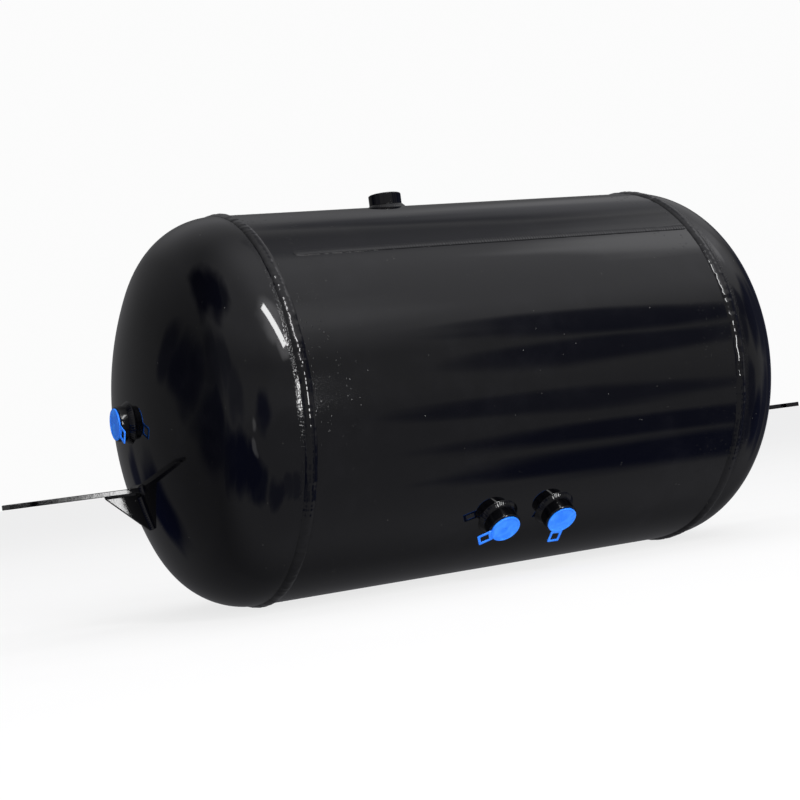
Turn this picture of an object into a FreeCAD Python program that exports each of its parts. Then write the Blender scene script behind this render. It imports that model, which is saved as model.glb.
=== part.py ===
"""Horizontal pressure tank: a welded steel air receiver with five threaded ports and an end bracket on each head.

Frame: millimetres, +Z up, the tank's axis along +X. The origin lies on the underside of the left
bracket's plate, on its centre line, between the bolt slot and the gusset.
"""
import FreeCAD, Part
import math
import os
import Sketcher

DOC = FreeCAD.newDocument("PressureTank")
SHEET = DOC.addObject("Spreadsheet::Sheet", "Sizes")

SIZES = {
    # Vessel
    "tank_radius": 198.0,        # outside of the shell
    "shell_wall": 3.0,
    "body_length": 492.0,        # from one girth joint to the other
    "head_wall": 3.5,
    "head_flange": 4.0,          # straight skirt of a head
    "crown_radius": 343.5,       # outside of a head's crown
    "knuckle_radius": 76.0,      # outside of a head's corner
    # Weld beads on the vessel
    "girth_bead_width": 11.0,
    "girth_bead_height": 2.8,
    "seam_bead_width": 8.0,
    "seam_bead_height": 1.2,
    "seam_angle": 43.7,          # of the long seam, above the horizontal on the front
    "seam_start": 28.0,          # flush joint between the left girth joint and the bead
    # Ports
    "boss_radius": 17.5,
    "bore_radius": 10.2,         # M22 x 1.5 internal thread, at its crests
    "boss_height": 16.0,         # proud of the shell
    "head_boss_height": 12.0,    # proud of a head's pole
    "boss_stub": 4.0,            # inside the wall
    "boss_edge": 0.8,            # chamfer round a boss's face
    "bore_edge": 1.2,            # chamfer at a bore's mouth
    "boss_weld": 5.0,            # leg of the fillet round a boss
    "top_port_shift": 41.0,      # from the tank's middle towards the left head
    "front_port_spacing": 66.0,
    "front_port_angle": 45.0,    # below the horizontal on the front
    # Plastic caps of the closed ports
    "cap_radius": 15.8,
    "cap_thickness": 1.2,
    "cap_rim_width": 2.0,
    "cap_rim_height": 0.5,       # over the cap's face
    "plug_clearance": 0.3,       # between a cap's plug and the bore
    "plug_length": 8.0,
    "plug_wall": 1.4,
    "tab_width": 13.5,
    "tab_length": 14.4,          # past a cap's rim
    "tab_border": 2.7,           # plastic round the tab's hole
    "left_tab_angle": 203.0,     # of each tab, about its port's axis
    "right_tab_angle": 267.0,
    "head_tab_angle": 240.0,
    # End brackets
    "mount_reach": 420.0,        # from the tank's middle to the mounting point
    "plate_drop": 69.5,          # from the tank's axis down to the plates' undersides
    "plate_set_back": 17.5,      # from the tank's axis to the plates' centre line
    "plate_thickness": 5.0,
    "plate_width": 35.0,
    "plate_overhang": 60.5,      # from the mounting point to a plate's free end
    "slot_offset": 37.8,         # from the mounting point to the slot's middle
    "slot_width": 8.5,
    "slot_depth": 22.0,
    "gusset_thickness": 5.0,
    "gusset_offset": 38.0,       # from the mounting point to the gusset's tip
    "gusset_nose": 2.5,          # blunt edge at the tip
    "gusset_run": 40.0,          # length of the sloping edge along the tank
    "gusset_depth": 38.5,
    "bracket_weld": 4.0,         # leg of the welds between the brackets and the heads
    "gusset_weld": 3.0,          # leg of the fillets between a gusset and its plate
}

# Formulas that several pieces share
GIRTH = "(Sizes.body_length / 2)"
CENTRE_GAP = "(Sizes.crown_radius - Sizes.knuckle_radius)"
CENTRE_RISE = "(Sizes.tank_radius - Sizes.knuckle_radius)"
CENTRE_RUN = f"sqrt({CENTRE_GAP}^2 - {CENTRE_RISE}^2)"
POLE = f"({GIRTH} + Sizes.head_flange + Sizes.crown_radius - {CENTRE_RUN})"
SHELL_BASE = "(Sizes.tank_radius - Sizes.shell_wall - Sizes.boss_stub)"
SHELL_FACE = "(Sizes.tank_radius + Sizes.boss_height)"
HEAD_BASE = f"({POLE} - Sizes.head_wall - Sizes.boss_stub)"
HEAD_FACE = f"({POLE} + Sizes.head_boss_height)"
PLATE_ROOT = f"(Sizes.mount_reach - {GIRTH})"
X_AXIS = "vector(1; 0; 0)"
Y_AXIS = "vector(0; 1; 0)"
Z_AXIS = "vector(0; 0; 1)"

sub_parts = []


def fill_sheet():
    for row, (alias, size) in enumerate(SIZES.items(), start=1):
        SHEET.set(f"A{row}", alias.replace("_", " "))
        SHEET.set(f"B{row}", str(size))
        SHEET.setAlias(f"B{row}", alias)
    DOC.recompute()


def value(formula):
    """The number that a formula gives now."""
    result = SHEET.evalExpression(formula)
    return float(getattr(result, "Value", result))


def bind(obj, **formulas):
    for prop, formula in formulas.items():
        obj.setExpression(prop, formula)
    return obj


def sub_part(obj, label):
    """Names a finished piece, which is written as that node."""
    obj.Label = label
    sub_parts.append(obj)
    return obj


# Places -------------------------------------------------------------------------------------------

def shift(x="0", y="0", z="0"):
    return f"placement(vector({x}; {y}; {z}); rotation({Z_AXIS}; 0))"


def turn(axis, degrees):
    return f"placement(vector(0; 0; 0); rotation({axis}; {degrees}))"


def in_tank(*steps):
    """The place of a piece drawn about the tank's centre, after any further steps."""
    centre = shift("Sizes.mount_reach", "-Sizes.plate_set_back", "Sizes.plate_drop")
    return " * ".join((centre,) + steps)


def shell_port(along, degrees):
    """The place of a port whose axis leaves the tank's axis at degrees from the top, to the front."""
    return in_tank(shift(x=along), turn(X_AXIS, degrees))


TOP_PORT = shell_port("-Sizes.top_port_shift", "0")
LEFT_FRONT_PORT = shell_port("-Sizes.front_port_spacing / 2", "90 + Sizes.front_port_angle")
RIGHT_FRONT_PORT = shell_port("Sizes.front_port_spacing / 2", "90 + Sizes.front_port_angle")
LEFT_HEAD_PORT = in_tank(turn(Y_AXIS, "-90"))


# Ways of making a piece ---------------------------------------------------------------------------

def new_body(name, place):
    body = DOC.addObject("PartDesign::Body", name)
    return bind(body, Placement=place)


def outward_arc(start, end, radius):
    """The arc from start to end that bulges to the right of the way between them."""
    chord = end - start
    to_left = FreeCAD.Vector(-chord.y, chord.x, 0).normalize()
    centre = start + chord / 2 + to_left * math.sqrt(radius**2 - (chord.Length / 2)**2)
    angles = [math.atan2(point.y - centre.y, point.x - centre.x) for point in (start, end)]
    return Part.ArcOfCircle(Part.Circle(centre, FreeCAD.Vector(0, 0, 1), radius), *angles)


def add_loop(sketch, corners, arcs):
    """Draws a closed counter-clockwise loop and fixes its corners and radii by their formulas."""
    points = [FreeCAD.Vector(value(across), value(along), 0) for across, along in corners]
    first = sketch.GeometryCount
    for index, start in enumerate(points):
        end = points[(index + 1) % len(points)]
        curve = outward_arc(start, end, value(arcs[index])) if index in arcs else Part.LineSegment(start, end)
        sketch.addGeometry(curve)
    for index, (across, along) in enumerate(corners):
        edge, edge_before = first + index, first + (index - 1) % len(corners)
        sketch.addConstraint(Sketcher.Constraint("Coincident", edge_before, 2, edge, 1))
        fixed = [("DistanceX", (-1, 1, edge, 1), across), ("DistanceY", (-1, 1, edge, 1), along)]
        if index in arcs:
            fixed.append(("Radius", (edge,), arcs[index]))
        for kind, ends, formula in fixed:
            number = sketch.addConstraint(Sketcher.Constraint(kind, *ends, value(formula)))
            sketch.setExpression(f"Constraints[{number}]", formula)


def add_sketch(body, role, corners, arcs=None, holes=()):
    """Sketches an outline on one of the body's own planes.

    corners are pairs of formulas, counter-clockwise. arcs gives a radius for each edge that bulges
    outwards, by the number of the corner that it leaves. holes are further loops of corners.
    """
    sketch = body.newObject("Sketcher::SketchObject", body.Name + "Sketch")
    sketch.AttachmentSupport = [(plane_of(body, role), "")]
    sketch.MapMode = "FlatFace"
    add_loop(sketch, corners, arcs or {})
    for hole in holes:
        add_loop(sketch, hole, {})
    return sketch


def plane_of(body, role):
    return next(item for item in body.Origin.OriginFeatures if item.Role == role)


def revolve(body, sketch, axis):
    feature = body.newObject("PartDesign::Revolution", body.Name + "Revolution")
    feature.Profile = sketch
    feature.ReferenceAxis = (sketch, [axis])
    feature.Angle = 360
    return body


def pad(body, sketch, length, both_ways=False):
    feature = body.newObject("PartDesign::Pad", body.Name + "Pad")
    feature.Profile = sketch
    feature.Midplane = both_ways
    feature.Refine = False
    bind(feature, Length=length)
    return body


def boolean(kind, name, base, tool):
    result = DOC.addObject(f"Part::{kind}", name)
    result.Base = base
    result.Tool = tool
    result.Refine = False
    return result


def cut(name, base, *tools):
    for tool in tools:
        base = boolean("Cut", name, base, tool)
    return base


def cylinder(name, radius, height, place):
    return bind(DOC.addObject("Part::Cylinder", name), Radius=radius, Height=height, Placement=place)


def mirrored(source, label):
    """The right-hand copy of a left-hand piece, across the tank's middle."""
    copy = DOC.addObject("Part::Mirroring", label)
    copy.Source = source
    copy.Normal = (1, 0, 0)
    copy.setExpression("Base.x", "Sizes.mount_reach")
    return sub_part(copy, label)


# Vessel -------------------------------------------------------------------------------------------

def tube(name, inner, outer):
    """A round band about the tank's axis, as long as the shell."""
    body = new_body(name, in_tank())
    ends = ("-" + GIRTH, GIRTH)
    corners = [(ends[0], inner), (ends[1], inner), (ends[1], outer), (ends[0], outer)]
    return revolve(body, add_sketch(body, "XY_Plane", corners), "H_Axis")


def head_form(name, growth):
    """A left head's dished form, filled, with its outside moved out by a growth."""
    body = new_body(name, in_tank())
    skirt = f"-({GIRTH} + Sizes.head_flange)"
    rim = f"Sizes.tank_radius + {growth}"
    knuckle = f"Sizes.knuckle_radius + {growth}"
    crown = f"Sizes.crown_radius + {growth}"
    tangent = (f"{skirt} - ({knuckle}) * {CENTRE_RUN} / {CENTRE_GAP}",
               f"({crown}) * {CENTRE_RISE} / {CENTRE_GAP}")
    corners = [("-" + GIRTH, "0"), ("-" + GIRTH, rim), (skirt, rim), tangent, (f"-({POLE} + {growth})", "0")]
    sketch = add_sketch(body, "XY_Plane", corners, arcs={2: knuckle, 3: crown})
    return revolve(body, sketch, "H_Axis")


def girth_weld():
    body = new_body("GirthWeld", in_tank())
    half, height = "Sizes.girth_bead_width / 2", "Sizes.girth_bead_height"
    corners = [(f"-{GIRTH} + {half}", "Sizes.tank_radius"), (f"-{GIRTH} - {half}", "Sizes.tank_radius")]
    crown = f"(({half})^2 + {height}^2) / (2 * {height})"
    sketch = add_sketch(body, "XY_Plane", corners, arcs={0: crown})
    return sub_part(revolve(body, sketch, "H_Axis"), "left_girth_weld")


def seam_weld(tank_solid):
    """The long seam's bead, flat underneath until it is cut to the shell's outside."""
    turned = turn(X_AXIS, "90 - Sizes.seam_angle")
    body = new_body("SeamBead", in_tank(turned, shift(x=f"Sizes.seam_start - {GIRTH}")))
    half, height = "Sizes.seam_bead_width / 2", "Sizes.seam_bead_height"
    foot = f"sqrt(Sizes.tank_radius^2 - ({half})^2)"
    corners = [(half, foot), (f"-{half}", foot)]
    crown = f"(({half})^2 + {height}^2) / (2 * {height})"
    sketch = add_sketch(body, "YZ_Plane", corners, arcs={0: crown})
    length = "Sizes.body_length - Sizes.seam_start - Sizes.girth_bead_width / 2"
    return sub_part(cut("SeamWeld", pad(body, sketch, length), tank_solid), "seam_weld")


# Ports --------------------------------------------------------------------------------------------

def boss(label, base, face, place):
    """A threaded boss: a ring set through the wall, with its bore open at both ends."""
    body = new_body(label.title().replace("_", ""), place)
    outer, bore = "Sizes.boss_radius", "Sizes.bore_radius"
    corners = [(bore, base), (outer, base), (outer, f"{face} - Sizes.boss_edge"),
               (f"{outer} - Sizes.boss_edge", face), (f"{bore} + Sizes.bore_edge", face),
               (bore, f"{face} - Sizes.bore_edge")]
    sketch = add_sketch(body, "XZ_Plane", corners)
    return sub_part(revolve(body, sketch, "V_Axis"), label)


def port_core(name, base, face, place):
    """The space that a boss takes in the wall and inside its own weld."""
    return cylinder(name, "Sizes.boss_radius", f"{face} - {base}", f"{place} * {shift(z=base)}")


def boss_weld(label, surface, place, core, wall_solid):
    """A sloping fillet round a boss, cut to the wall that it lies on."""
    cone = DOC.addObject("Part::Cone", label.title().replace("_", "") + "Cone")
    bind(cone, Radius1="Sizes.boss_radius + 2 * Sizes.boss_weld", Radius2="Sizes.boss_radius",
         Height="2 * Sizes.boss_weld", Placement=f"{place} * {shift(z=f'{surface} - Sizes.boss_weld')}")
    return sub_part(cut(label.title().replace("_", ""), cone, core, wall_solid), label)


def cap(label, face, place, tab_angle):
    """A plastic cap: a disc with a raised rim on the boss's face, a plug in the bore and a pull tab."""
    body = new_body(label.title().replace("_", ""), f"{place} * {shift(z=face)} * {turn(Z_AXIS, tab_angle)}")
    top, rim = "Sizes.cap_thickness", "Sizes.cap_radius - Sizes.cap_rim_width"
    crest = f"{top} + Sizes.cap_rim_height"
    plug = "(Sizes.bore_radius - Sizes.plug_clearance)"
    hollow = f"{plug} - Sizes.plug_wall"
    corners = [("0", "0"), (hollow, "0"), (hollow, "-Sizes.plug_length"), (plug, "-Sizes.plug_length"),
               (plug, "0"), ("Sizes.cap_radius", "0"), ("Sizes.cap_radius", crest), (rim, crest),
               (rim, top), ("0", top)]
    revolve(body, add_sketch(body, "XZ_Plane", corners), "V_Axis")
    half, border = "Sizes.tab_width / 2", "Sizes.tab_border"
    end = "Sizes.cap_radius + Sizes.tab_length"
    hole_half = f"{half} - {border}"
    outline = [(rim, f"-{half}"), (end, f"-{half}"), (end, half), (rim, half)]
    hole_start, hole_end = f"Sizes.cap_radius + {border}", f"{end} - {border}"
    hole = [(hole_start, f"-({hole_half})"), (hole_end, f"-({hole_half})"),
            (hole_end, hole_half), (hole_start, hole_half)]
    pad(body, add_sketch(body, "XY_Plane", outline, holes=[hole]), top)
    return sub_part(body, label)


# End brackets -------------------------------------------------------------------------------------

def bracket_plate():
    """The whole plate with its open slot, running on into the head.

    It is padded in two lengths, so that the mounting face underneath ends where the gusset begins.
    No step refines its result, because that would join the two lengths' faces again.
    """
    body = new_body("PlateBlank", shift())
    front, back = "-Sizes.plate_width / 2", "Sizes.plate_width / 2"
    for start, end in (("-Sizes.plate_overhang", "Sizes.gusset_offset"), ("Sizes.gusset_offset", PLATE_ROOT)):
        corners = [(start, front), (end, front), (end, back), (start, back)]
        pad(body, add_sketch(body, "XY_Plane", corners), "Sizes.plate_thickness")
    half = "Sizes.slot_width / 2"
    left, right = f"-Sizes.slot_offset - {half}", f"-Sizes.slot_offset + {half}"
    bend, end = f"{front} + Sizes.slot_depth - {half}", f"{front} + Sizes.slot_depth"
    slot = [(left, front), (right, front), (right, bend), ("-Sizes.slot_offset", end), (left, bend)]
    pocket = body.newObject("PartDesign::Pocket", "SlotPocket")
    pocket.Profile = add_sketch(body, "XY_Plane", slot, arcs={2: half, 3: half})
    pocket.Type = "ThroughAll"
    pocket.Midplane = True
    pocket.Refine = False
    body.Tip = pocket
    return body


def gusset():
    """The whole triangular rib under the plate, running on into the head."""
    body = new_body("GussetBlank", shift())
    tip, foot = "Sizes.gusset_offset", "Sizes.gusset_offset + Sizes.gusset_run"
    corners = [(tip, "0"), (tip, "-Sizes.gusset_nose"), (foot, "-Sizes.gusset_depth"),
               (PLATE_ROOT, "-Sizes.gusset_depth"), (PLATE_ROOT, "0")]
    return pad(body, add_sketch(body, "XZ_Plane", corners), "Sizes.gusset_thickness", both_ways=True)


def block(name, half_width, low, high, start="0"):
    """A straight bar along the bracket, from a start to the plate's root."""
    bar = DOC.addObject("Part::Box", name)
    return bind(bar, Length=f"{PLATE_ROOT} - ({start})", Width=f"2 * ({half_width})",
                Height=f"{high} - ({low})", Placement=shift(start, f"-({half_width})", low))


def gusset_fillets():
    """The two fillets in the corners between a gusset and its plate."""
    body = new_body("GussetFilletBlank", shift(x="Sizes.gusset_offset"))
    half, leg = "Sizes.gusset_thickness / 2", "Sizes.gusset_weld"
    front = [(f"-{half}", "0"), (f"-{half} - {leg}", "0"), (f"-{half}", f"-{leg}")]
    back = [(half, "0"), (half, f"-{leg}"), (f"{half} + {leg}", "0")]
    sketch = add_sketch(body, "YZ_Plane", front, holes=[back])
    return pad(body, sketch, f"{PLATE_ROOT} - Sizes.gusset_offset")


def left_bracket(head_solid, weld_solid):
    """The left plate, its gusset and their welds, all cut to the head."""
    plate, rib, leg = bracket_plate(), gusset(), "Sizes.bracket_weld"
    reach, top = f"Sizes.plate_width / 2 + {leg}", f"Sizes.plate_thickness + {leg}"
    collar = block("PlateWeldBlock", reach, f"-{leg}", top)
    rib_reach, rib_low = f"Sizes.gusset_thickness / 2 + {leg}", f"-Sizes.gusset_depth - {leg}"
    rib_collar = block("GussetWeldBlock", rib_reach, rib_low, f"-{leg}")
    return [
        sub_part(cut("LeftPlate", plate, head_solid), "left_bracket_plate"),
        sub_part(cut("LeftGusset", rib, head_solid), "left_gusset"),
        sub_part(cut("LeftPlateWeld", boolean("Common", "PlateWeldRing", collar, weld_solid),
                     head_solid, plate, rib), "left_plate_weld"),
        sub_part(cut("LeftGussetRootWeld", boolean("Common", "GussetWeldRing", rib_collar, weld_solid),
                     head_solid, rib), "left_gusset_root_weld"),
        sub_part(cut("LeftGussetWeld", gusset_fillets(), weld_solid), "left_gusset_weld"),
    ]


# Assembly -----------------------------------------------------------------------------------------

def build():
    fill_sheet()
    ports = {"top": TOP_PORT, "front_left": LEFT_FRONT_PORT, "front_right": RIGHT_FRONT_PORT}
    cores = {name: port_core(f"{name.title().replace('_', '')}Core", SHELL_BASE, SHELL_FACE, place)
             for name, place in ports.items()}
    tank_solid = cylinder("TankSolid", "Sizes.tank_radius", "Sizes.body_length",
                          in_tank(shift(x="-" + GIRTH), turn(Y_AXIS, "90")))
    shell_tube = tube("ShellTube", "Sizes.tank_radius - Sizes.shell_wall", "Sizes.tank_radius")
    sub_part(cut("Shell", shell_tube, *cores.values()), "shell")

    head_solid = head_form("HeadSolid", "0")
    head_cavity = head_form("HeadCavity", "-Sizes.head_wall")
    head_core = port_core("HeadCore", HEAD_BASE, HEAD_FACE, LEFT_HEAD_PORT)
    left_head = sub_part(cut("Head", head_solid, head_cavity, head_core), "left_head")
    left_girth = girth_weld()
    seam_weld(tank_solid)

    for name, place in ports.items():
        boss(f"{name}_boss", SHELL_BASE, SHELL_FACE, place)
        boss_weld(f"{name}_boss_weld", "Sizes.tank_radius", place, cores[name], tank_solid)
    cap("front_left_cap", SHELL_FACE, LEFT_FRONT_PORT, "Sizes.left_tab_angle")
    cap("front_right_cap", SHELL_FACE, RIGHT_FRONT_PORT, "Sizes.right_tab_angle")

    left_end = [left_head, left_girth, boss("left_head_boss", HEAD_BASE, HEAD_FACE, LEFT_HEAD_PORT)]
    left_end.append(boss_weld("left_head_boss_weld", POLE, LEFT_HEAD_PORT, head_core, head_solid))
    left_end.append(cap("left_head_cap", HEAD_FACE, LEFT_HEAD_PORT, "Sizes.head_tab_angle"))
    left_end += left_bracket(head_solid, head_form("WeldSolid", "Sizes.bracket_weld"))
    for piece in left_end:
        mirrored(piece, piece.Label.replace("left", "right"))
    DOC.recompute()


def write_steps():
    """Stops on any failed object, and otherwise writes each sub-part to its own file."""
    failed = [obj.Label for obj in DOC.Objects if {"Invalid", "Error"} & set(obj.State)]
    failed += [obj.Label for obj in sub_parts if obj.Shape.isNull() or not obj.Shape.isValid()]
    if failed:
        raise RuntimeError("failed objects: " + ", ".join(failed))
    os.makedirs("parts", exist_ok=True)
    for obj in sub_parts:
        obj.Shape.exportStep(f"parts/{obj.Label}.step")


build()
write_steps()
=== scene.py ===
import math
import bmesh
import bpy
from mathutils import Matrix, Vector


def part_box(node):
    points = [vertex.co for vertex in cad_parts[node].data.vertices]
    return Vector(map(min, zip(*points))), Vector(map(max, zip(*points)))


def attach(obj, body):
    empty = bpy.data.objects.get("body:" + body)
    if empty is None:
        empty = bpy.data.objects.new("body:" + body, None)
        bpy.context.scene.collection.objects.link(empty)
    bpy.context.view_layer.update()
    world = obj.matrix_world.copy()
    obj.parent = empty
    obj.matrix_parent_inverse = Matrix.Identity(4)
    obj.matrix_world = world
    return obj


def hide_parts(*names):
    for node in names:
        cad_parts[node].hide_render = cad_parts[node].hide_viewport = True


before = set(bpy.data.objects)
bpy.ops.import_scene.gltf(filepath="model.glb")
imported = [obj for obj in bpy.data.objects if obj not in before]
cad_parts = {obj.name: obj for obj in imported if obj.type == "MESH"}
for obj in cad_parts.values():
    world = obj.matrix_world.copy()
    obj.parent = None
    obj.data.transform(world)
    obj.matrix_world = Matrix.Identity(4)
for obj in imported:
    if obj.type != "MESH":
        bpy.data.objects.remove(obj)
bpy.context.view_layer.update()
scene = bpy.context.scene
scene.view_settings.view_transform = "Standard"


# ---- The setting: camera, room, lamps and floor --------------------------------------------------
# The tank lies on a pale floor in a pale room. The camera stands low in front of it, near the
# left head, and is tipped a little, so that the tank's axis climbs to the right.

shell_low, shell_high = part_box("shell")
bead_low, bead_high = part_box("left_girth_weld")
plate_low, plate_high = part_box("left_bracket_plate")
tank_middle = (shell_low + shell_high) / 2
tank_radius = (shell_high.z - shell_low.z) / 2
floor_level = bead_low.z

camera_offset = Vector((-0.8415, -1.5764, -0.0666))
camera_sight = Vector((0.4465, 0.8941, 0.0334))
camera_tip = math.radians(-7.47)
camera_lens = 74.25

camera_data = bpy.data.cameras.new("Camera")
camera_data.lens = camera_lens
camera_data.clip_end = 200
camera = bpy.data.objects.new("Camera", camera_data)
scene.collection.objects.link(camera)
look_along = camera_sight.to_track_quat("-Z", "Y").to_matrix().to_4x4()
tipped = Matrix.Rotation(camera_tip, 4, "Z")
camera.matrix_world = Matrix.Translation(tank_middle + camera_offset) @ look_along @ tipped
scene.camera = camera


class Wire:
    """One output of a node. Reckoning with it adds the Math or Vector Math node that is needed."""

    def __init__(self, graph, socket):
        self.graph, self.socket = graph, socket

    def reckon(self, word, *others):
        values = (self,) + others
        if any(isinstance(v, Wire) and v.socket.type in ("VECTOR", "RGBA") for v in values):
            return self.graph.vector(word, *values)
        return self.graph.number(word, *values)

    def __add__(self, other): return self.reckon("ADD", other)
    def __sub__(self, other): return self.reckon("SUBTRACT", other)
    def __mul__(self, other): return self.reckon("MULTIPLY", other)
    def __truediv__(self, other): return self.reckon("DIVIDE", other)
    def __pow__(self, other): return self.reckon("POWER", other)
    def __radd__(self, other): return self.reckon("ADD", other)
    def __rmul__(self, other): return self.reckon("MULTIPLY", other)
    def __rsub__(self, other): return self.graph.number("SUBTRACT", other, self)
    def __neg__(self): return self * -1.0

    def scaled(self, factor): return self.graph.vector("SCALE", self, factor)
    def cross(self, other): return self.graph.vector("CROSS_PRODUCT", self, other)
    def unit(self): return self.graph.vector("NORMALIZE", self)
    def sin(self): return self.graph.number("SINE", self)
    def cos(self): return self.graph.number("COSINE", self)
    def size(self): return self.graph.number("ABSOLUTE", self)
    def least(self, other): return self.graph.number("MINIMUM", self, other)
    def most(self, other): return self.graph.number("MAXIMUM", self, other)

    def along(self, way):
        """How far this vector reaches along a way."""
        settings = {"operation": "DOT_PRODUCT"}
        return self.graph.add("ShaderNodeVectorMath", settings, {0: self, 1: way}, "Value")

    def step(self, start, end, low=0.0, high=1.0):
        """A soft step from low to high while this value goes from start to end."""
        return self.graph.add("ShaderNodeMapRange", {"interpolation_type": "SMOOTHSTEP"},
                              {"Value": self, "From Min": start, "From Max": end,
                               "To Min": low, "To Max": high}, "Result")

    def part(self, letter):
        """The X, Y or Z of a vector."""
        return self.graph.add("ShaderNodeSeparateXYZ", {}, {0: self}, letter)


class Graph:
    """A node tree that is written as expressions on its wires."""

    def __init__(self, tree):
        self.tree = tree

    def add(self, kind, settings, inputs, output=0):
        """Adds a node, makes its settings, then fills its inputs, and returns one of its outputs."""
        node = self.tree.nodes.new(kind)
        for name, setting in settings.items():
            setattr(node, name, setting)
        for name, value in inputs.items():
            if isinstance(value, Wire):
                self.tree.links.new(value.socket, node.inputs[name])
            else:
                node.inputs[name].default_value = value
        return Wire(self, node.outputs[output]) if len(node.outputs) else None

    def number(self, word, *values):
        return self.add("ShaderNodeMath", {"operation": word}, dict(enumerate(values)))

    def vector(self, word, *values):
        if word == "SCALE":
            ends = {"Vector": values[0], "Scale": values[1]}
            return self.add("ShaderNodeVectorMath", {"operation": word}, ends)
        return self.add("ShaderNodeVectorMath", {"operation": word}, dict(enumerate(values)))


def colour_mix(graph, factor, first, second):
    """Blends two colours by a factor; a Mix node's colour sockets are its seventh and eighth."""
    return graph.add("ShaderNodeMix", {"data_type": "RGBA"}, {0: factor, 6: first, 7: second}, 2)


# The room that the gloss reflects: a bright ceiling, grey walls, a darker floor and dim corners,
# with soft blue-black things standing about. The camera itself sees plain white.
room_white = (0.97, 0.97, 0.97, 1)
room_wall = (0.31, 0.31, 0.32, 1)
room_ceiling = (0.74, 0.74, 0.77, 1)
room_floor = (0.25, 0.25, 0.265, 1)
room_shadow = (0.004, 0.012, 0.075, 1)
room_glow = (2.1, 2.1, 2.15, 1)
room_things = (  # which way each stands, how high, how wide in degrees, and how dark
    (-112, 42, 12, 0.97), (-98, 47, 13, 0.97), (-84, 52, 9, 0.85), (-131, 17, 6, 0.70),
    (-121, 11, 8, 0.85), (-103, 14, 10, 0.6), (-86, 18, 10, 0.55), (-74, 6, 10, 0.5),
    (-107, -4, 10, 0.85), (-92, -14, 11, 0.92), (-77, -22, 12, 0.94), (-62, -30, 12, 0.94),
    (-52, -39, 9, 0.85), (-35, -4, 9, 0.9), (-165, -5, 4, 0.8), (-152, -11, 7, 0.95),
    (-25, -50, 8, 0.7), (-6, -48, 7, 0.5), (12, -47, 6, 0.5), (36, 23, 5, 0.8),
    (35, 10, 5, 0.75), (33, -14, 5, 0.65), (44, -32, 6, 0.85), (57, -45, 7, 0.9),
    (53, 10, 8, 0.7), (54, -13, 8, 0.7), (62, -34, 8, 0.75), (60, 20, 8, 0.8),
    (78, 13, 11, 0.85), (96, 8, 10, 0.8), (62, -20, 8, 0.8), (80, -24, 10, 0.9),
    (97, -14, 10, 0.8), (116, 4, 15, 0.8), (138, 44, 7, 0.5), (118, 60, 9, 0.35))
room_panes = (  # the same for bright windows, and how bright
    (0, 46, 12, 0.85), (9, 34, 8, 0.7), (83, 49, 8, 0.5), (104, 45, 9, 0.16),
    (130, 33, 12, 0.2), (28, 44, 8, 0.12), (-50, -9, 3, 0.35), (-52, -20, 3, 0.3))
blurred_edge, solid_edge = 1.5, 0.6  # where a shape starts and is full, as shares of its width


def way(azimuth, elevation):
    """The unit vector that points an azimuth to the right of the front and an elevation up."""
    across, up = math.radians(azimuth), math.radians(elevation)
    return Vector((math.sin(across) * math.cos(up), -math.cos(across) * math.cos(up), math.sin(up)))


world = bpy.data.worlds.new("Room")
world.use_nodes = True
world.node_tree.nodes.clear()
scene.world = world
room = Graph(world.node_tree)
look = room.add("ShaderNodeTexCoord", {}, {}, "Generated")
ragged = room.add("ShaderNodeTexNoise", {}, {"Vector": look, "Scale": 3.2, "Detail": 2.0}, "Color")
bent = (look + (ragged - (0.5, 0.5, 0.5)).scaled(0.28)).unit()


def gathered(shapes):
    """How much of any of the shapes lies in the way that is looked."""
    total = 0.0
    for azimuth, elevation, reach, amount in shapes:
        nearness = bent.along(way(azimuth, elevation))
        start, full = (math.cos(math.radians(reach * edge)) for edge in (blurred_edge, solid_edge))
        share = nearness.step(start, full, 0.0, amount)
        total = share.most(total)
    return total


height, depth, along = look.part("Z"), look.part("Y"), look.part("X")
upper = colour_mix(room, height.step(0.30, 0.66), room_wall, room_ceiling)
walls = colour_mix(room, height.step(-0.25, 0.05), room_floor, upper)
with_things = colour_mix(room, gathered(room_things), walls, room_shadow)
lit = colour_mix(room, gathered(room_panes), with_things, room_glow)
behind = 1.0 - depth.step(-0.15, 0.45) * 0.6
to_left = 1.0 - height.step(0.1, 0.6) * along.step(0.10, -0.45) * 0.4
rays = room.tree.nodes.new("ShaderNodeLightPath")
seen = room.add("ShaderNodeBackground", {}, {"Color": room_white})
felt = room.add("ShaderNodeBackground", {}, {"Color": lit, "Strength": behind * to_left})
to_camera = Wire(room, rays.outputs["Is Camera Ray"])
choice = room.add("ShaderNodeMixShader", {}, {0: to_camera, 1: felt, 2: seen})
room.add("ShaderNodeOutputWorld", {}, {"Surface": choice})


def add_lamp(name, place, aim, width, length, power, in_gloss):
    """A flat upright lamp that faces a point and shows in gloss or not."""
    lamp_data = bpy.data.lights.new(name, "AREA")
    lamp_data.shape = "RECTANGLE"
    lamp_data.size, lamp_data.size_y = width, length
    lamp_data.energy = power
    lamp = bpy.data.objects.new(name, lamp_data)
    facing = (aim - place).to_track_quat("-Z", "Y").to_matrix().to_4x4()
    lamp.matrix_world = Matrix.Translation(place) @ facing
    lamp.visible_glossy = in_gloss
    scene.collection.objects.link(lamp)


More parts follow.
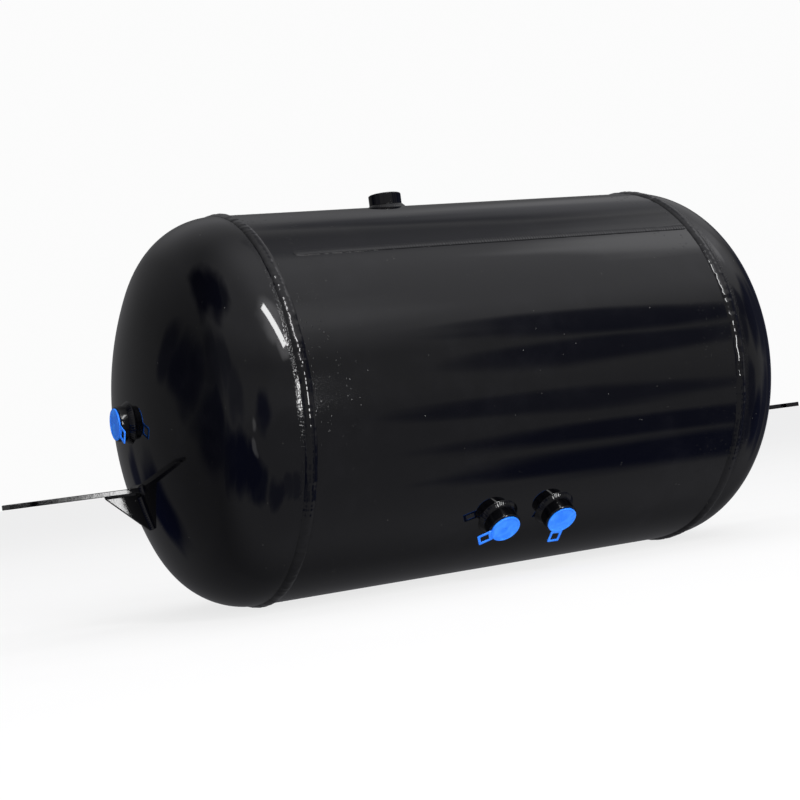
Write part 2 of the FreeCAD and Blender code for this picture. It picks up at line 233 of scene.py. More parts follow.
def add_strip(name, head, foot, aim, width, radiance):
    """A long lamp from head to foot, whose broad side faces a point."""
    middle = (head + foot) / 2
    back = (middle - aim).normalized()
    long_way = foot - head
    side = long_way.cross(back).normalized()
    upright = back.cross(side).normalized()
    strip_data = bpy.data.lights.new(name, "AREA")
    strip_data.shape = "RECTANGLE"
    strip_data.size, strip_data.size_y = width, long_way.length
    strip_data.energy = radiance * math.pi * width * long_way.length
    strip = bpy.data.objects.new(name, strip_data)
    strip.matrix_world = Matrix.Translation(middle) @ Matrix((side, upright, back)).transposed().to_4x4()
    scene.collection.objects.link(strip)


strip_aim = tank_middle + Vector((-0.265, -0.186, 0.064))
strip_head, strip_foot = Vector((-0.16, -1.36, 2.05)), Vector((0.42, -2.14, 1.24))
strip_width, strip_radiance = 0.27, 18.0
add_strip("strip_lamp", strip_aim + strip_head, strip_aim + strip_foot, strip_aim, strip_width,
          strip_radiance)
glare_middle = Vector((1.0225, -2.83, 0.2))
glare_facing = Vector((-0.34, 0.94, 0))
glare_width, glare_height, glare_radiance = 0.375, 0.95, 20.0
glare_power = glare_radiance * math.pi * glare_width * glare_height
add_lamp("glare_lamp", glare_middle, glare_middle + glare_facing, glare_width, glare_height,
         glare_power, True)
fill_power = 60
add_lamp("front_fill", tank_middle + Vector((-0.9, -2.6, 0.5)), tank_middle, 2.4, 1.6, fill_power, False)
add_lamp("sky_fill", tank_middle + Vector((0.3, 0.3, 3.2)), tank_middle, 3.0, 3.0, fill_power, False)

floor_reach = 60
floor_corners = [(x * floor_reach, y * floor_reach, floor_level)
                 for x, y in ((-1, -1), (1, -1), (1, 1), (-1, 1))]
floor_mesh = bpy.data.meshes.new("floor")
floor_mesh.from_pydata(floor_corners, [], [(0, 1, 2, 3)])
floor = bpy.data.objects.new("floor", floor_mesh)
scene.collection.objects.link(floor)
floor.visible_glossy = False
floor_paint = bpy.data.materials.new("pale_floor")
floor_paint.use_nodes = True
floor_paint.node_tree.nodes.clear()
ground = Graph(floor_paint.node_tree)
ground_place = ground.add("ShaderNodeTexCoord", {}, {}, "Object")
grain = ground.add("ShaderNodeTexNoise", {}, {"Vector": ground_place, "Scale": 9.0, "Detail": 4.0})
floor_pale, floor_paler = (0.80, 0.80, 0.80, 1), (0.82, 0.82, 0.82, 1)
ground_colour = colour_mix(ground, grain.step(0.3, 0.7), floor_pale, floor_paler)
matte = ground.add("ShaderNodeBsdfDiffuse", {}, {"Color": ground_colour})
glow = ground.add("ShaderNodeEmission", {}, {"Color": room_white})
floor_glow = 0.8
both = ground.add("ShaderNodeMixShader", {}, {0: floor_glow, 1: matte, 2: glow})
ground.add("ShaderNodeOutputMaterial", {}, {"Surface": both})
floor_mesh.materials.append(floor_paint)


# ---- Gloss paint ---------------------------------------------------------------------------------
# The whole tank is sprayed with one thick black gloss enamel: nearly a mirror, with a fine orange
# peel, a slow wave where the steel was rolled, soft smears and grains of dust caught in the paint.

paint_black = (0.0010, 0.0010, 0.0014, 1)
paint_haze = (0.0034, 0.0034, 0.0042, 1)
dust_grey = (0.09, 0.09, 0.085, 1)
dust_height = 0.00015


def gloss_paint(name, peel_depth, wave_depth, dustiness, rough_low, rough_high, grain_depth=0.00003):
    """Black enamel. Depths are metres of height that the light sees; grain lies beside girth joints."""
    paint = bpy.data.materials.new(name)
    paint.use_nodes = True
    paint.node_tree.nodes.clear()
    graph = Graph(paint.node_tree)
    place = graph.add("ShaderNodeTexCoord", {}, {}, "Object")

    def speckle(scale, detail, **more):
        inputs = {"Vector": place, "Scale": scale, "Detail": detail, **more}
        return graph.add("ShaderNodeTexNoise", {}, inputs)

    def bumped(depth, height, under=None):
        inputs = {"Strength": 1.0, "Distance": depth, "Height": height}
        if under is not None:
            inputs["Normal"] = under
        return graph.add("ShaderNodeBump", {}, inputs, "Normal")

    smear = speckle(7.0, 5.0, Roughness=0.6, Distortion=0.4)
    cloud = speckle(38.0, 3.0)
    specks = {"Vector": place, "Scale": 210.0}
    cells = graph.add("ShaderNodeTexVoronoi", {"feature": "F1"}, specks, "Distance")
    dust = cells.step(0.13, 0.05) * speckle(95.0, 1.0).step(0.66, 0.72) * dustiness
    haze = smear.step(0.42, 0.75)
    colour = colour_mix(graph, haze * cloud.step(0.3, 0.8), paint_black, paint_haze)
    colour = colour_mix(graph, dust, colour, dust_grey)
    roughness = haze * (rough_high - rough_low) + rough_low + dust * 0.3
    past_joint = (place.part("X") - tank_middle.x).size() - (shell_high.x - shell_low.x) / 2
    beside = past_joint.step(0.001, 0.003) * past_joint.step(0.012, 0.008) * cloud.step(0.25, 0.45)
    grain = speckle(560.0, 1.0).step(0.40, 0.60) * beside
    slow = bumped(wave_depth, speckle(9.0, 1.5))
    fine = bumped(peel_depth, speckle(420.0, 2.0), slow)
    grit = bumped(dust_height, dust, bumped(grain_depth, grain, fine))
    skin = graph.add("ShaderNodeBsdfPrincipled", {},
                     {"Base Color": colour, "Roughness": roughness, "Normal": grit, "IOR": 1.5})
    graph.add("ShaderNodeOutputMaterial", {}, {"Surface": skin})
    return paint


tank_paint = gloss_paint("tank_gloss_black", 0.0000022, 0.00022, 1.0, 0.035, 0.08, 0.00012)
boss_paint = gloss_paint("boss_gloss_black", 0.0000030, 0.00020, 0.5, 0.03, 0.08)
weld_paint = gloss_paint("weld_gloss_black", 0.0000240, 0.00030, 0.6, 0.05, 0.12)
bracket_paint = gloss_paint("bracket_gloss_black", 0.0000300, 0.00010, 1.0, 0.09, 0.17)


def finish_piece(name, mesh, material, nodes, smooth_angle=40.0):
    """Puts a mesh on show in place of CAD nodes, with rounded faces shaded smooth."""
    piece = bpy.data.objects.new(name, mesh)
    scene.collection.objects.link(piece)
    mesh.materials.clear()
    mesh.materials.append(material)
    mesh.shade_smooth()
    mesh.set_sharp_from_angle(angle=math.radians(smooth_angle))
    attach(piece, "root")
    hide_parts(*nodes)
    return piece


# ---- Shell and heads -----------------------------------------------------------------------------
# A rolled steel cylinder with a dished head pressed from sheet at each end. Each piece is a true
# wall: an outer and an inner skin, turned about the tank's axis, with holes for the port bosses.

turn_count, small_count = 256, 96
head_wall = 0.0035
shell_wall = 0.003
skirt = 0.004
crown_radius, knuckle_radius = 0.3435, 0.076
boss_radius = 0.0175
girth_run = (shell_high.x - shell_low.x) / 2
centre_gap, centre_rise = crown_radius - knuckle_radius, tank_radius - knuckle_radius
centre_run = math.sqrt(centre_gap ** 2 - centre_rise ** 2)
knuckle_angle = math.asin(centre_rise / centre_gap)
crown_centre = girth_run + skirt - centre_run


def spun(name, profile, count=turn_count, closed=True):
    """Turns a profile of (along, radius) points about the tank's axis into a mesh."""
    body = bmesh.new()
    rings = []
    for along, radius in profile:
        if radius < 1e-7:
            rings.append([body.verts.new((along, 0, 0))] * count)
            continue
        angles = [2 * math.pi * step / count for step in range(count)]
        around = [(radius * math.cos(angle), radius * math.sin(angle)) for angle in angles]
        rings.append([body.verts.new((along, y, z)) for y, z in around])
    pairs = list(zip(rings, rings[1:] + rings[:1])) if closed else list(zip(rings, rings[1:]))
    for one, two in pairs:
        for step in range(count):
            corners = [one[step], one[(step + 1) % count], two[(step + 1) % count], two[step]]
            corners = list(dict.fromkeys(corners))
            if len(corners) > 2:
                body.faces.new(corners)
    bmesh.ops.recalc_face_normals(body, faces=body.faces)
    mesh = bpy.data.meshes.new(name)
    body.to_mesh(mesh)
    body.free()
    return mesh


def held(profile, margin):
    """A profile with more points beside its corners, so that smooth shading stays close to them."""
    points = [profile[0]]
    for (a, b), (c, d) in zip(profile, profile[1:]):
        reach = math.hypot(c - a, d - b)
        if reach > 4 * margin:
            for share in (margin / reach, 1 - margin / reach):
                points.append((a + (c - a) * share, b + (d - b) * share))
        points.append((c, d))
    return points


def dish_profile(growth, hole, crown_steps, knuckle_steps):
    """A head's skin from its open edge to the hole at its pole, moved outwards by a growth."""
    rim, knuckle, crown = tank_radius + growth, knuckle_radius + growth, crown_radius + growth
    points = [(girth_run, rim)]
    for step in range(knuckle_steps + 1):
        angle = math.pi / 2 - (math.pi / 2 - knuckle_angle) * step / knuckle_steps
        run, rise = knuckle * math.cos(angle), knuckle * math.sin(angle)
        points.append((girth_run + skirt + run, centre_rise + rise))
    last = math.asin(hole / crown)
    for step in range(1, crown_steps + 1):
        angle = knuckle_angle + (last - knuckle_angle) * step / crown_steps
        points.append((crown_centre + crown * math.cos(angle), crown * math.sin(angle)))
    return points


def surface_run(radius):
    """How far a head's outside lies from the tank's middle, at a distance from the axis."""
    if radius > centre_rise + knuckle_radius * math.sin(knuckle_angle):
        return girth_run + skirt + math.sqrt(knuckle_radius ** 2 - (radius - centre_rise) ** 2)
    return crown_centre + math.sqrt(crown_radius ** 2 - radius ** 2)


def as_built(holder):
    """The mesh that an object has once its modifiers have run."""
    return bpy.data.meshes.new_from_object(holder.evaluated_get(bpy.context.evaluated_depsgraph_get()))


def bored(mesh, cutters):
    """Cuts round holes through a mesh with solid pegs."""
    holder = bpy.data.objects.new("blank", mesh)
    scene.collection.objects.link(holder)
    for cutter in cutters:
        peg = bpy.data.objects.new("peg", cutter)
        scene.collection.objects.link(peg)
        hole = holder.modifiers.new("hole", "BOOLEAN")
        hole.operation, hole.solver, hole.object = "DIFFERENCE", "EXACT", peg
        done = as_built(holder)
        holder.modifiers.clear()
        holder.data = done
        bpy.data.objects.remove(peg)
    bpy.data.objects.remove(holder)
    return done


to_tank = Matrix.Translation(tank_middle)
shell_ports = ("top", "front_left", "front_right")
port_along = {name: (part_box(f"{name}_boss")[0].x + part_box(f"{name}_boss")[1].x) / 2 - tank_middle.x
              for name in shell_ports}
port_turn = {"top": 0.0, "front_left": math.radians(135), "front_right": math.radians(135)}
out_of_axis = Matrix.Rotation(math.radians(-90), 4, "Y")


def port_place(name):
    """The place of a shell port's own frame, whose +Z runs out of the port from the tank's axis."""
    along = Matrix.Translation((port_along[name], 0, 0))
    return to_tank @ along @ Matrix.Rotation(port_turn[name], 4, "X")


mirrored = Matrix.Scale(-1, 4, Vector((1, 0, 0)))
head_place = {"left": to_tank @ out_of_axis, "right": to_tank @ mirrored @ out_of_axis}


def peg_mesh(low, high, radius, place):
    """A solid peg along +Z of a place."""
    mesh = spun("peg", [(low, 0), (low, radius), (high, radius), (high, 0)], small_count, closed=False)
    mesh.transform(place @ out_of_axis)
    return mesh


rows = 36
outer_rows = [(girth_run * (2 * step / rows - 1), tank_radius) for step in range(rows + 1)]
inner_rows = [(along, tank_radius - shell_wall) for along, radius in reversed(outer_rows)]
shell_mesh = spun("shell", outer_rows + inner_rows)
shell_mesh.transform(to_tank)
peg_reach = 0.02
pegs = [peg_mesh(tank_radius - peg_reach, tank_radius + peg_reach, boss_radius, port_place(name))
        for name in shell_ports]
finish_piece("shell_skin", bored(shell_mesh, pegs), tank_paint, ["shell"])

crown_steps, knuckle_steps = 44, 22
head_outline = (dish_profile(0, boss_radius, crown_steps, knuckle_steps)
                + dish_profile(-head_wall, boss_radius, crown_steps, knuckle_steps)[::-1])
for side, sign in (("left", -1), ("right", 1)):
    head_mesh = spun(f"{side}_head", [(sign * along, radius) for along, radius in head_outline])
    head_mesh.transform(to_tank)
    finish_piece(f"{side}_head_skin", head_mesh, tank_paint, [f"{side}_head"])


# ---- Weld beads ----------------------------------------------------------------------------------
# Every joint is arc welded: a bead of frozen ripples, each a small crescent, with lumps where the
# torch slowed. One node tree sweeps a bead along a path and leans it to the way each point faces.


def new_tree(name, sockets, result):
    """A node tree with named inputs and one result: its graph, its inputs' identifiers and wires."""
    tree = bpy.data.node_groups.new(name, "GeometryNodeTree")
    identifiers = {}
    for label, kind in sockets.items():
        item = tree.interface.new_socket(label, in_out="INPUT", socket_type="NodeSocket" + kind)
        identifiers[label] = item.identifier
    tree.interface.new_socket(result, in_out="OUTPUT", socket_type="NodeSocketGeometry")
    graph = Graph(tree)
    entry = tree.nodes.new("NodeGroupInput")
    return graph, identifiers, {label: Wire(graph, entry.outputs[label]) for label in sockets}


def close_tree(graph, geometry, paint, result):
    """Makes a tree's geometry real, paints it and hands it out."""
    real = graph.add("GeometryNodeRealizeInstances", {}, {"Geometry": geometry})
    painted = graph.add("GeometryNodeSetMaterial", {}, {"Geometry": real, "Material": paint})
    graph.add("NodeGroupOutput", {}, {result: painted})


def run_tree(mesh, graph, identifiers, settings):
    """Runs a node tree on a mesh and gives the mesh that comes out."""
    holder = bpy.data.objects.new("holder", mesh)
    scene.collection.objects.link(holder)
    modifier = holder.modifiers.new("nodes", "NODES")
    modifier.node_group = graph.tree
    for label, setting in settings.items():
        modifier[identifiers[label]] = setting
    made = as_built(holder)
    bpy.data.objects.remove(holder)
    return made


bead, bead_inputs, given = new_tree("weld_bead", {
    "Path": "Geometry", "Width": "Float", "Height": "Float", "Root": "Float", "Shoulder": "Float",
    "Ripples": "Float", "Ripple Depth": "Float", "Lumps": "Float", "Round Trip": "Float",
    "Steps Along": "Int", "Steps Around": "Int", "Seed": "Float", "Paint": "Material"}, "Bead")
path = bead.add("GeometryNodeMeshToCurve", {}, {"Mesh": given["Path"]})
grid = bead.add("GeometryNodeMeshGrid", {},
                {"Size X": 1.0, "Size Y": 1.0, "Vertices X": given["Steps Along"],
                 "Vertices Y": given["Steps Around"]}, "Mesh")
spot = bead.add("GeometryNodeInputPosition", {}, {})
run = spot.part("X") + 0.5
swing = (spot.part("Y") + 0.5) * (2 * math.pi)
kind = {"data_type": "FLOAT_VECTOR"}
facing_in = bead.add("GeometryNodeInputNamedAttribute", kind, {"Name": "facing"})
sampler = bead.add("GeometryNodeSampleCurve", kind, {"Curves": path, "Factor": run}).socket.node
bead.tree.links.new(facing_in.socket, next(s for s in sampler.inputs if s.name == "Value" and s.enabled))
centre = Wire(bead, sampler.outputs["Position"])
heading = Wire(bead, sampler.outputs["Tangent"])
facing = Wire(bead, next(s for s in sampler.outputs if s.name == "Value" and s.enabled)).unit()
sideways = heading.cross(facing).unit()
end_share = 0.012
near_end = (run.least(1.0 - run) * (1 / end_share)).least(1.0)
tapered = (1.0 - (1.0 - near_end) ** 2.0) ** 0.5
fullness = tapered.most(given["Round Trip"])
across = swing.cos()
noise = bead.add("ShaderNodeTexNoise", {"noise_dimensions": "4D"},
                 {"Vector": centre, "W": given["Seed"], "Scale": 70.0, "Detail": 2.0})
fleck = bead.add("ShaderNodeTexNoise", {"noise_dimensions": "4D"},
                 {"Vector": centre, "W": given["Seed"] + across * 1.6, "Scale": 420.0, "Detail": 1.0})
drift = (noise - 0.5) * given["Lumps"]
crescent = (run * given["Ripples"] + across * across * 0.55 + noise * 2.6) * (2 * math.pi)
ripple = 1.0 - given["Ripple Depth"] * (0.5 - crescent.sin() * 0.5) * (0.4 + fleck)
lump = (1.0 - drift.size() * 1.3) * (0.86 + fleck * 0.14)
over = swing.sin().most(0.0) ** given["Shoulder"] * given["Height"] * ripple * lump
under = swing.sin().least(0.0) * given["Root"]
breadth = across * (0.5 - drift.size() * 0.1) + drift * 0.12
grown = sideways.scaled(breadth * given["Width"] * fullness)
raised = facing.scaled((over + under) * fullness)
moved = bead.add("GeometryNodeSetPosition", {}, {"Geometry": grid, "Position": centre + grown + raised})
welded = bead.add("GeometryNodeMergeByDistance", {}, {"Geometry": moved, "Distance": 0.00002})
close_tree(bead, welded, given["Paint"], "Bead")


def weld_bead(name, paths, nodes, width, height, root, pitch, depth=0.22, lumps=0.9, shoulder=0.8):
    """Lays ripple beads along paths, each a list of (point, facing) pairs and whether it closes."""
    per_ripple, around = 6, 16
    joined = bmesh.new()
    for number, (stops, closes) in enumerate(paths):
        points = [point for point, facing in stops]
        reach = sum((b - a).length for a, b in zip(points, points[1:] + (points[:1] if closes else [])))
        count = max(3, round(reach / pitch))
        line = bpy.data.meshes.new("line")
        edges = [(i, i + 1) for i in range(len(points) - 1)] + ([(len(points) - 1, 0)] if closes else [])
        line.from_pydata(points, edges, [])
        attribute = line.attributes.new("facing", "FLOAT_VECTOR", "POINT")
        attribute.data.foreach_set("vector", [part for point, facing in stops for part in facing])
        joined.from_mesh(run_tree(line, bead, bead_inputs, {
            "Width": width, "Height": height, "Root": root, "Shoulder": shoulder,
            "Ripples": float(count), "Ripple Depth": depth, "Lumps": lumps,
            "Round Trip": 1.0 if closes else 0.0, "Steps Along": count * per_ripple + 1,
            "Steps Around": around + 1, "Seed": 3.1 * number + len(name), "Paint": weld_paint}))
    bmesh.ops.recalc_face_normals(joined, faces=joined.faces)
    mesh = bpy.data.meshes.new(name)
    joined.to_mesh(mesh)
    joined.free()
    return finish_piece(name, mesh, weld_paint, nodes, smooth_angle=70.0)


def ring_stops(place, radius, count, face_at):
    """Stops round +Z of a place. face_at gives a stop's height and facing from its angle."""
    stops = []
    for step in range(count):
        angle = 2 * math.pi * step / count
        height, facing = face_at(angle)
        point = Vector((radius * math.cos(angle), radius * math.sin(angle), height))
        stops.append((place @ point, (place.to_3x3() @ facing).normalized()))
    return stops


# The two girth joints, between shell and heads.
girth_width = bead_high.x - bead_low.x
girth_height, girth_root, girth_pitch = 0.0028, 0.0006, 0.0060
for side, sign in (("left", -1), ("right", 1)):
    joint_place = to_tank @ Matrix.Translation((sign * girth_run, 0, 0)) @ out_of_axis.inverted()
    girth = ring_stops(joint_place, tank_radius, turn_count,
                       lambda a: (0.0, Vector((math.cos(a), math.sin(a), 0))))
    weld_bead(f"{side}_girth_bead", [(girth, True)], [f"{side}_girth_weld"], girth_width * 1.15,
              girth_height, girth_root, girth_pitch, depth=0.05, lumps=1.1, shoulder=1.7)

# The long seam of the rolled shell.
seam_turn = math.radians(90 - 43.7)
seam_face = Vector((0, -math.sin(seam_turn), math.cos(seam_turn)))
seam_low, seam_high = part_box("seam_weld")
seam_line = [(Vector((x, tank_middle.y, tank_middle.z)) + seam_face * tank_radius, seam_face)
             for x in (seam_low.x, (seam_low.x + seam_high.x) / 2, seam_high.x)]
seam_width, seam_height, seam_root, seam_pitch = 0.008, 0.0012, 0.0004, 0.0030
weld_bead("long_seam_bead", [(seam_line, False)], ["seam_weld"], seam_width, seam_height, seam_root,
          seam_pitch, depth=0.35)


# ---- Weld spatter --------------------------------------------------------------------------------
# Shallow drops of metal that flew from the arc and froze beside the girth joints, under the paint.
# One node tree strews flat domes over a band of the surface, more of them close to the joint.

strewn, spatter_inputs, given = new_tree("weld_spatter", {
    "Band": "Geometry", "Joint": "Float", "Reach": "Float", "Density": "Float", "Small": "Float",
    "Large": "Float", "Flatness": "Float", "Seed": "Int", "Paint": "Material"}, "Drops")
spot = strewn.add("GeometryNodeInputPosition", {}, {})
closeness = 1.0 - ((spot.part("X") - given["Joint"]).size() / given["Reach"]).least(1.0)
crowding = given["Density"] * closeness
landed = strewn.add("GeometryNodeDistributePointsOnFaces", {"distribute_method": "RANDOM"},
                    {"Mesh": given["Band"], "Density": crowding, "Seed": given["Seed"]})
leaning = Wire(strewn, landed.socket.node.outputs["Rotation"])
drop = strewn.add("GeometryNodeMeshIcoSphere", {}, {"Radius": 1.0, "Subdivisions": 3})
breadth = strewn.add("FunctionNodeRandomValue", {"data_type": "FLOAT"},  # 2 and 3 are its number limits
                     {2: given["Small"], 3: given["Large"], "Seed": given["Seed"]}, 1)
thickness = breadth * given["Flatness"]
squash = strewn.add("ShaderNodeCombineXYZ", {}, {"X": breadth, "Y": breadth, "Z": thickness})
drops = strewn.add("GeometryNodeInstanceOnPoints", {},
                   {"Points": landed, "Instance": drop, "Rotation": leaning, "Scale": squash})
close_tree(strewn, drops, given["Paint"], "Drops")

spatter_reach, spatter_density = 0.055, 22000.0  # metres, and drops on a square metre at the joint
drop_small, drop_large, drop_flatness = 0.0004, 0.0010, 0.16
for seed, side, sign in ((7, "left", -1), (8, "right", 1)):
    joint = sign * girth_run
    band_profile = [(joint - sign * spatter_reach, tank_radius), (joint, tank_radius)]
    band = spun("band", band_profile, closed=False)
    band.transform(to_tank)
    if (band.polygons[0].center - tank_middle).dot(band.polygons[0].normal) < 0:
        band.flip_normals()
    drops_mesh = run_tree(band, strewn, spatter_inputs, {
        "Joint": tank_middle.x + joint, "Reach": spatter_reach, "Density": spatter_density,
        "Small": drop_small, "Large": drop_large, "Flatness": drop_flatness, "Seed": seed,
        "Paint": tank_paint})
    finish_piece(f"{side}_girth_spatter", drops_mesh, tank_paint, [f"{side}_girth_weld"],
                 smooth_angle=80.0)


# ---- Port bosses ---------------------------------------------------------------------------------
# Each port is a turned steel ring set through the wall, welded all round, threaded inside for a
# hose fitting. Its face and mouth are chamfered.

bore_radius = 0.0102
thread_pitch, thread_depth = 0.0015, 0.0007
boss_stub = 0.004
leg = 0.005
corner_margin = 0.0003


def boss_mesh(name, base, face, place, threaded):
    """A turned ring from base to face along +Z of a place, with a thread cut into its bore."""
    edge, mouth, fine = 0.0008, 0.0012, 0.00025
    nick = fine * 0.4
    profile = [(base, boss_radius), (face - edge - fine, boss_radius), (face - edge, boss_radius - nick),
               (face - nick, boss_radius - edge), (face, boss_radius - edge - fine),
               (face, bore_radius + mouth + fine), (face - nick, bore_radius + mouth)]
    bore_run = face - mouth - base
    count = round(bore_run / (thread_pitch / 8)) if threaded else 1
    profile += [(face - mouth - bore_run * step / count, bore_radius) for step in range(count + 1)]
    mesh = spun(name, held(profile, corner_margin), small_count)
    if threaded:
        for vertex in mesh.vertices:
            reach = math.hypot(vertex.co.y, vertex.co.z)
            if reach < bore_radius + 1e-6 and base + 1e-4 < vertex.co.x < face - mouth - 1e-4:
                turn_share = math.atan2(vertex.co.z, vertex.co.y) / (2 * math.pi)
                phase = (vertex.co.x / thread_pitch + turn_share) % 1.0
                growth = 1 + thread_depth * (1 - abs(2 * phase - 1)) / reach
                vertex.co.y *= growth
                vertex.co.z *= growth
    mesh.transform(place @ out_of_axis)
    if place.determinant() < 0:
        mesh.flip_normals()
    return mesh


shell_base, shell_face = tank_radius - shell_wall - boss_stub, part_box("top_boss")[1].z - tank_middle.z
head_base = surface_run(0) - head_wall - boss_stub
head_face = tank_middle.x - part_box("left_head_boss")[0].x
fillet_out, fillet_up = 0.42, 0.38  # where a fillet weld's middle lies, as shares of its leg
corner_ring, corner_rise = boss_radius + leg * fillet_out, leg * fillet_up
corner_count = 72
boss_bead_sizes = [leg * 1.5, leg * 0.16, leg * 0.75, 0.0022]  # width, height, root, ripple pitch


def shell_corner(angle):
    """The corner between boss and shell: lower to the sides, where the shell falls away."""
    height = math.sqrt(tank_radius ** 2 - (corner_ring * math.sin(angle)) ** 2) + corner_rise
    return height, Vector((math.cos(angle), math.sin(angle), 0.9))


def head_corner(angle):
    """The corner between boss and head."""
    return surface_run(corner_ring) + corner_rise, Vector((math.cos(angle), math.sin(angle), 0.9))


def add_boss(name, place, base, face, threaded, corner):
    """A port's ring and the bead round its foot."""
    ring = boss_mesh(name, base, face, place, threaded)
    finish_piece(f"{name}_ring", ring, boss_paint, [name], smooth_angle=30.0)
    stops = ring_stops(place, corner_ring, corner_count, corner)
    weld_bead(f"{name}_bead", [(stops, True)], [f"{name}_weld"], *boss_bead_sizes)


for name in shell_ports:
    add_boss(f"{name}_boss", port_place(name), shell_base, shell_face, name == "top", shell_corner)
for side in ("left", "right"):
    add_boss(f"{side}_head_boss", head_place[side], head_base, head_face, False, head_corner)


# ---- Caps ----------------------------------------------------------------------------------------
# Soft blue moulded caps keep dirt out of the closed ports: a disc with a raised rim and a sunken
# moulding mark, a hollow plug in the bore, and a pull tab with a window.

cap_blue = (0.008, 0.165, 0.86, 1)
cap_pale = (0.030, 0.25, 0.95, 1)
cap_radius, cap_face, cap_rim, cap_crest = 0.0158, 0.0012, 0.002, 0.0005
plug_radius, plug_wall, plug_length = 0.0099, 0.0014, 0.008
tab_width, tab_length, tab_border = 0.0135, 0.0144, 0.0027

cap_plastic = bpy.data.materials.new("cap_blue_plastic")
cap_plastic.use_nodes = True
cap_plastic.node_tree.nodes.clear()
cap_graph = Graph(cap_plastic.node_tree)
cap_place = cap_graph.add("ShaderNodeTexCoord", {}, {}, "Object")
flow = cap_graph.add("ShaderNodeTexNoise", {},
                     {"Vector": cap_place, "Scale": 90.0, "Detail": 4.0, "Distortion": 1.2})
cap_grain = cap_graph.add("ShaderNodeTexNoise", {},
                          {"Vector": cap_place, "Scale": 1900.0, "Detail": 2.0})
cap_colour = colour_mix(cap_graph, flow.step(0.35, 0.75), cap_blue, cap_pale)
cap_bump = cap_graph.add("ShaderNodeBump", {},
                         {"Strength": 1.0, "Distance": 0.00003, "Height": cap_grain}, "Normal")
cap_roughness = flow.step(0.3, 0.8, 0.32, 0.48)
cap_skin = cap_graph.add("ShaderNodeBsdfPrincipled", {},
                         {"Base Color": cap_colour, "Roughness": cap_roughness, "Normal": cap_bump})
cap_graph.add("ShaderNodeOutputMaterial", {}, {"Surface": cap_skin})


def cap_mesh(name, place):
    """One moulded cap on z = 0 of a place, with its tab along +X."""
    top, soft = cap_face + cap_crest, 0.00022
    hollow, rim = plug_radius - plug_wall, cap_radius - cap_rim
    mark_depth, mark_radius = 0.0003, 0.0012
    profile = [(-0.0004, 0), (0, hollow), (-plug_length + soft, hollow), (-plug_length, hollow + soft),
               (-plug_length, plug_radius - soft * 3), (-plug_length + soft * 3, plug_radius),
               (0, plug_radius), (0, cap_radius - soft), (soft, cap_radius),
               (top - soft * 2, cap_radius), (top - soft * 0.6, cap_radius - soft * 0.6),
               (top, cap_radius - soft * 2), (top, rim + soft * 2), (top - soft * 0.6, rim + soft * 0.6),
               (cap_face + soft, rim), (cap_face, rim - soft), (cap_face, mark_radius * 1.5),
               (cap_face - mark_depth, mark_radius), (cap_face - mark_depth, 0)]
    disc = spun(name, held(profile, corner_margin), small_count, closed=False)
    disc.transform(out_of_axis)
    shape = bmesh.new()
    shape.from_mesh(disc)
    end, half, low = cap_radius + tab_length, tab_width / 2, 0.0001
    outer = rounded_box(rim, end, half, 0.0014)
    inner = rounded_box(cap_radius + tab_border, end - tab_border, half - tab_border, 0.0007)
    levels = [(outer, low, soft), (outer, low + soft, 0), (outer, cap_face - soft, 0),
              (outer, cap_face, soft), (inner, cap_face, -soft), (inner, cap_face - soft, 0),
              (inner, low + soft, 0), (inner, low, -soft)]
    loops = [[shape.verts.new((x - nx * inset, y - ny * inset, z)) for x, y, nx, ny in line]
             for line, z, inset in levels]
    count = len(outer)
    for one, two in zip(loops, loops[1:] + loops[:1]):
        for step in range(count):
            shape.faces.new([one[step], one[(step + 1) % count], two[(step + 1) % count], two[step]])
    bmesh.ops.recalc_face_normals(shape, faces=shape.faces)
    mesh = bpy.data.meshes.new(name)
    shape.to_mesh(mesh)
    shape.free()
    mesh.transform(place)
    if place.determinant() < 0:
        mesh.flip_normals()
    return mesh


def rounded_box(start, end, half, corner):
    """Points of a box with round corners, each with the way it faces: (x, y, facing x, facing y)."""
    points, corner_steps = [], 6
    for cx, cy, first in ((end - corner, half - corner, 0), (start + corner, half - corner, 90),
                          (start + corner, -half + corner, 180), (end - corner, -half + corner, 270)):
        for step in range(corner_steps + 1):
            angle = math.radians(first + 90 * step / corner_steps)
            nx, ny = math.cos(angle), math.sin(angle)
            points.append((cx + corner * nx, cy + corner * ny, nx, ny))
    return points


def add_cap(port, place, face, turn):
    """A cap on a port's face, its tab turned in degrees."""
    seat = place @ Matrix.Translation((0, 0, face)) @ Matrix.Rotation(math.radians(turn), 4, "Z")
    finish_piece(f"{port}_port_cap", cap_mesh(port, seat), cap_plastic, [f"{port}_cap"],
                 50.0)


for name, turn in (("front_left", 203), ("front_right", 267)):
    add_cap(name, port_place(name), shell_face, turn)
for side in ("left", "right"):
    add_cap(f"{side}_head", head_place[side], head_face, 240)


# ---- End brackets --------------------------------------------------------------------------------
# A flat steel strip with an open bolt slot is welded edge-on to each head, with a triangular rib
# under it. The cut edges are slightly rounded by the paint.

plate_edge, rib_edge = 0.0006, 0.0005


def softened(node, width):
    """A copy of a CAD node's mesh with its edges rounded."""
    shape = bmesh.new()
    shape.from_mesh(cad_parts[node].data)
    bmesh.ops.remove_doubles(shape, verts=shape.verts, dist=0.00001)
    bmesh.ops.dissolve_limit(shape, angle_limit=math.radians(1.0), verts=shape.verts, edges=shape.edges)
    mesh = bpy.data.meshes.new(node)
    shape.to_mesh(mesh)
    shape.free()
    holder = bpy.data.objects.new("bracket", mesh)
    scene.collection.objects.link(holder)
    rounding = holder.modifiers.new("rounding", "BEVEL")
    rounding.width, rounding.segments, rounding.limit_method = width, 3, "ANGLE"
    rounding.angle_limit = math.radians(40)
    done = as_built(holder)
    bpy.data.objects.remove(holder)
    return done


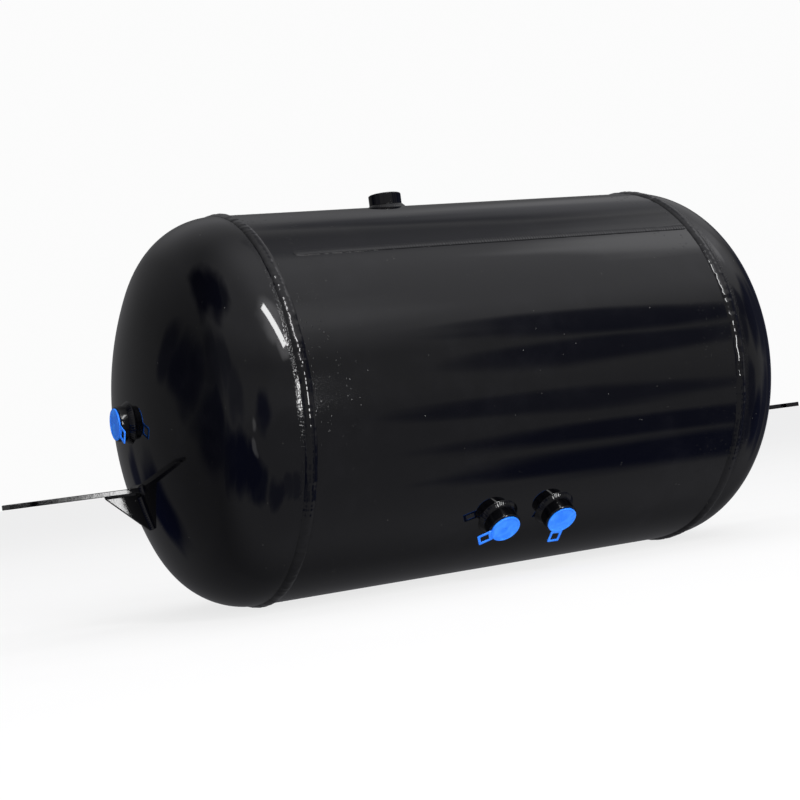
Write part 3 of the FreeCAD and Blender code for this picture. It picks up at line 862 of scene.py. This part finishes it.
plate_middle = (plate_low.y + plate_high.y) / 2
gusset_low, gusset_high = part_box("left_gusset")
bracket_leg, gusset_leg = 0.004, 0.003
flat_area = 0.00002  # a bracket's smaller faces are its rounded edges


def root_stop(side, y, z, out_y, out_z):
    """A stop in the corner between a bracket and the head, where the bracket's side faces out."""
    sign = -1 if side == "left" else 1
    offset_y = y + out_y * bracket_leg * fillet_out
    offset_z = z + out_z * bracket_leg * fillet_out
    from_axis = math.hypot(offset_y - tank_middle.y, offset_z - tank_middle.z)
    run = surface_run(from_axis) + bracket_leg * fillet_up
    point = Vector((tank_middle.x + sign * run, offset_y, offset_z))
    return point, Vector((sign * 0.8, out_y, out_z)).normalized()


def foot_stops(side, low_y, high_y, low_z, high_z):
    """Stops all the way round a plate's foot on the head."""
    corner_steps, spacing = 4, 0.003
    stops = []
    corners = [(high_y, high_z), (low_y, high_z), (low_y, low_z), (high_y, low_z)]
    for number, (y, z) in enumerate(corners):
        for step in range(corner_steps + 1):
            angle = math.radians(90 * number + 90 * step / corner_steps)
            stops.append(root_stop(side, y, z, math.cos(angle), math.sin(angle)))
    dense = []
    for (point, facing), (next_point, next_facing) in zip(stops, stops[1:] + stops[:1]):
        parts = max(1, round((next_point - point).length / spacing))
        for part in range(parts):
            share = part / parts
            dense.append((point.lerp(next_point, share), facing.lerp(next_facing, share)))
    return dense


root_bead_sizes = [bracket_leg * 1.5, bracket_leg * 0.2, bracket_leg * 0.7, 0.0024]
top_bead_sizes = [gusset_leg * 1.4, gusset_leg * 0.2, gusset_leg * 0.7, 0.0022]
rib_steps = 14
rib_start = plate_low.z - bracket_leg
plate_from_axis = math.hypot(plate_middle - tank_middle.y, tank_middle.z)
rib_end = surface_run(plate_from_axis) + bracket_leg
for side, sign in (("left", -1), ("right", 1)):
    plate = finish_piece(f"{side}_plate", softened(f"{side}_bracket_plate", plate_edge), bracket_paint,
                         [f"{side}_bracket_plate"])
    rib = finish_piece(f"{side}_rib", softened(f"{side}_gusset", rib_edge), bracket_paint,
                       [f"{side}_gusset"])
    for piece in (plate, rib):
        for face in piece.data.polygons:
            face.use_smooth = face.area < flat_area
    plate_foot = foot_stops(side, plate_low.y, plate_high.y, plate_low.z, plate_high.z)
    weld_bead(f"{side}_plate_bead", [(plate_foot, True)], [f"{side}_plate_weld"], *root_bead_sizes)
    far = tank_middle.x + sign * (tank_middle.x - gusset_low.x)
    near = tank_middle.x + sign * rib_end
    rib_foot, rib_top = [], []
    for out, y in ((-1, gusset_low.y), (1, gusset_high.y)):
        heights = [rib_start + (gusset_low.z - rib_start) * step / rib_steps
                   for step in range(rib_steps + 1)]
        rib_foot.append(([root_stop(side, y, z, out, 0) for z in heights], False))
        facing = Vector((0, out, -1)).normalized()
        corner_y, corner_z = y + out * gusset_leg * 0.4, -gusset_leg * 0.4
        rib_top.append(([(Vector((x, corner_y, corner_z)), facing) for x in (far, near)], False))
    weld_bead(f"{side}_rib_root_bead", rib_foot, [f"{side}_gusset_root_weld"], *root_bead_sizes)
    weld_bead(f"{side}_rib_top_bead", rib_top, [f"{side}_gusset_weld"], *top_bead_sizes)
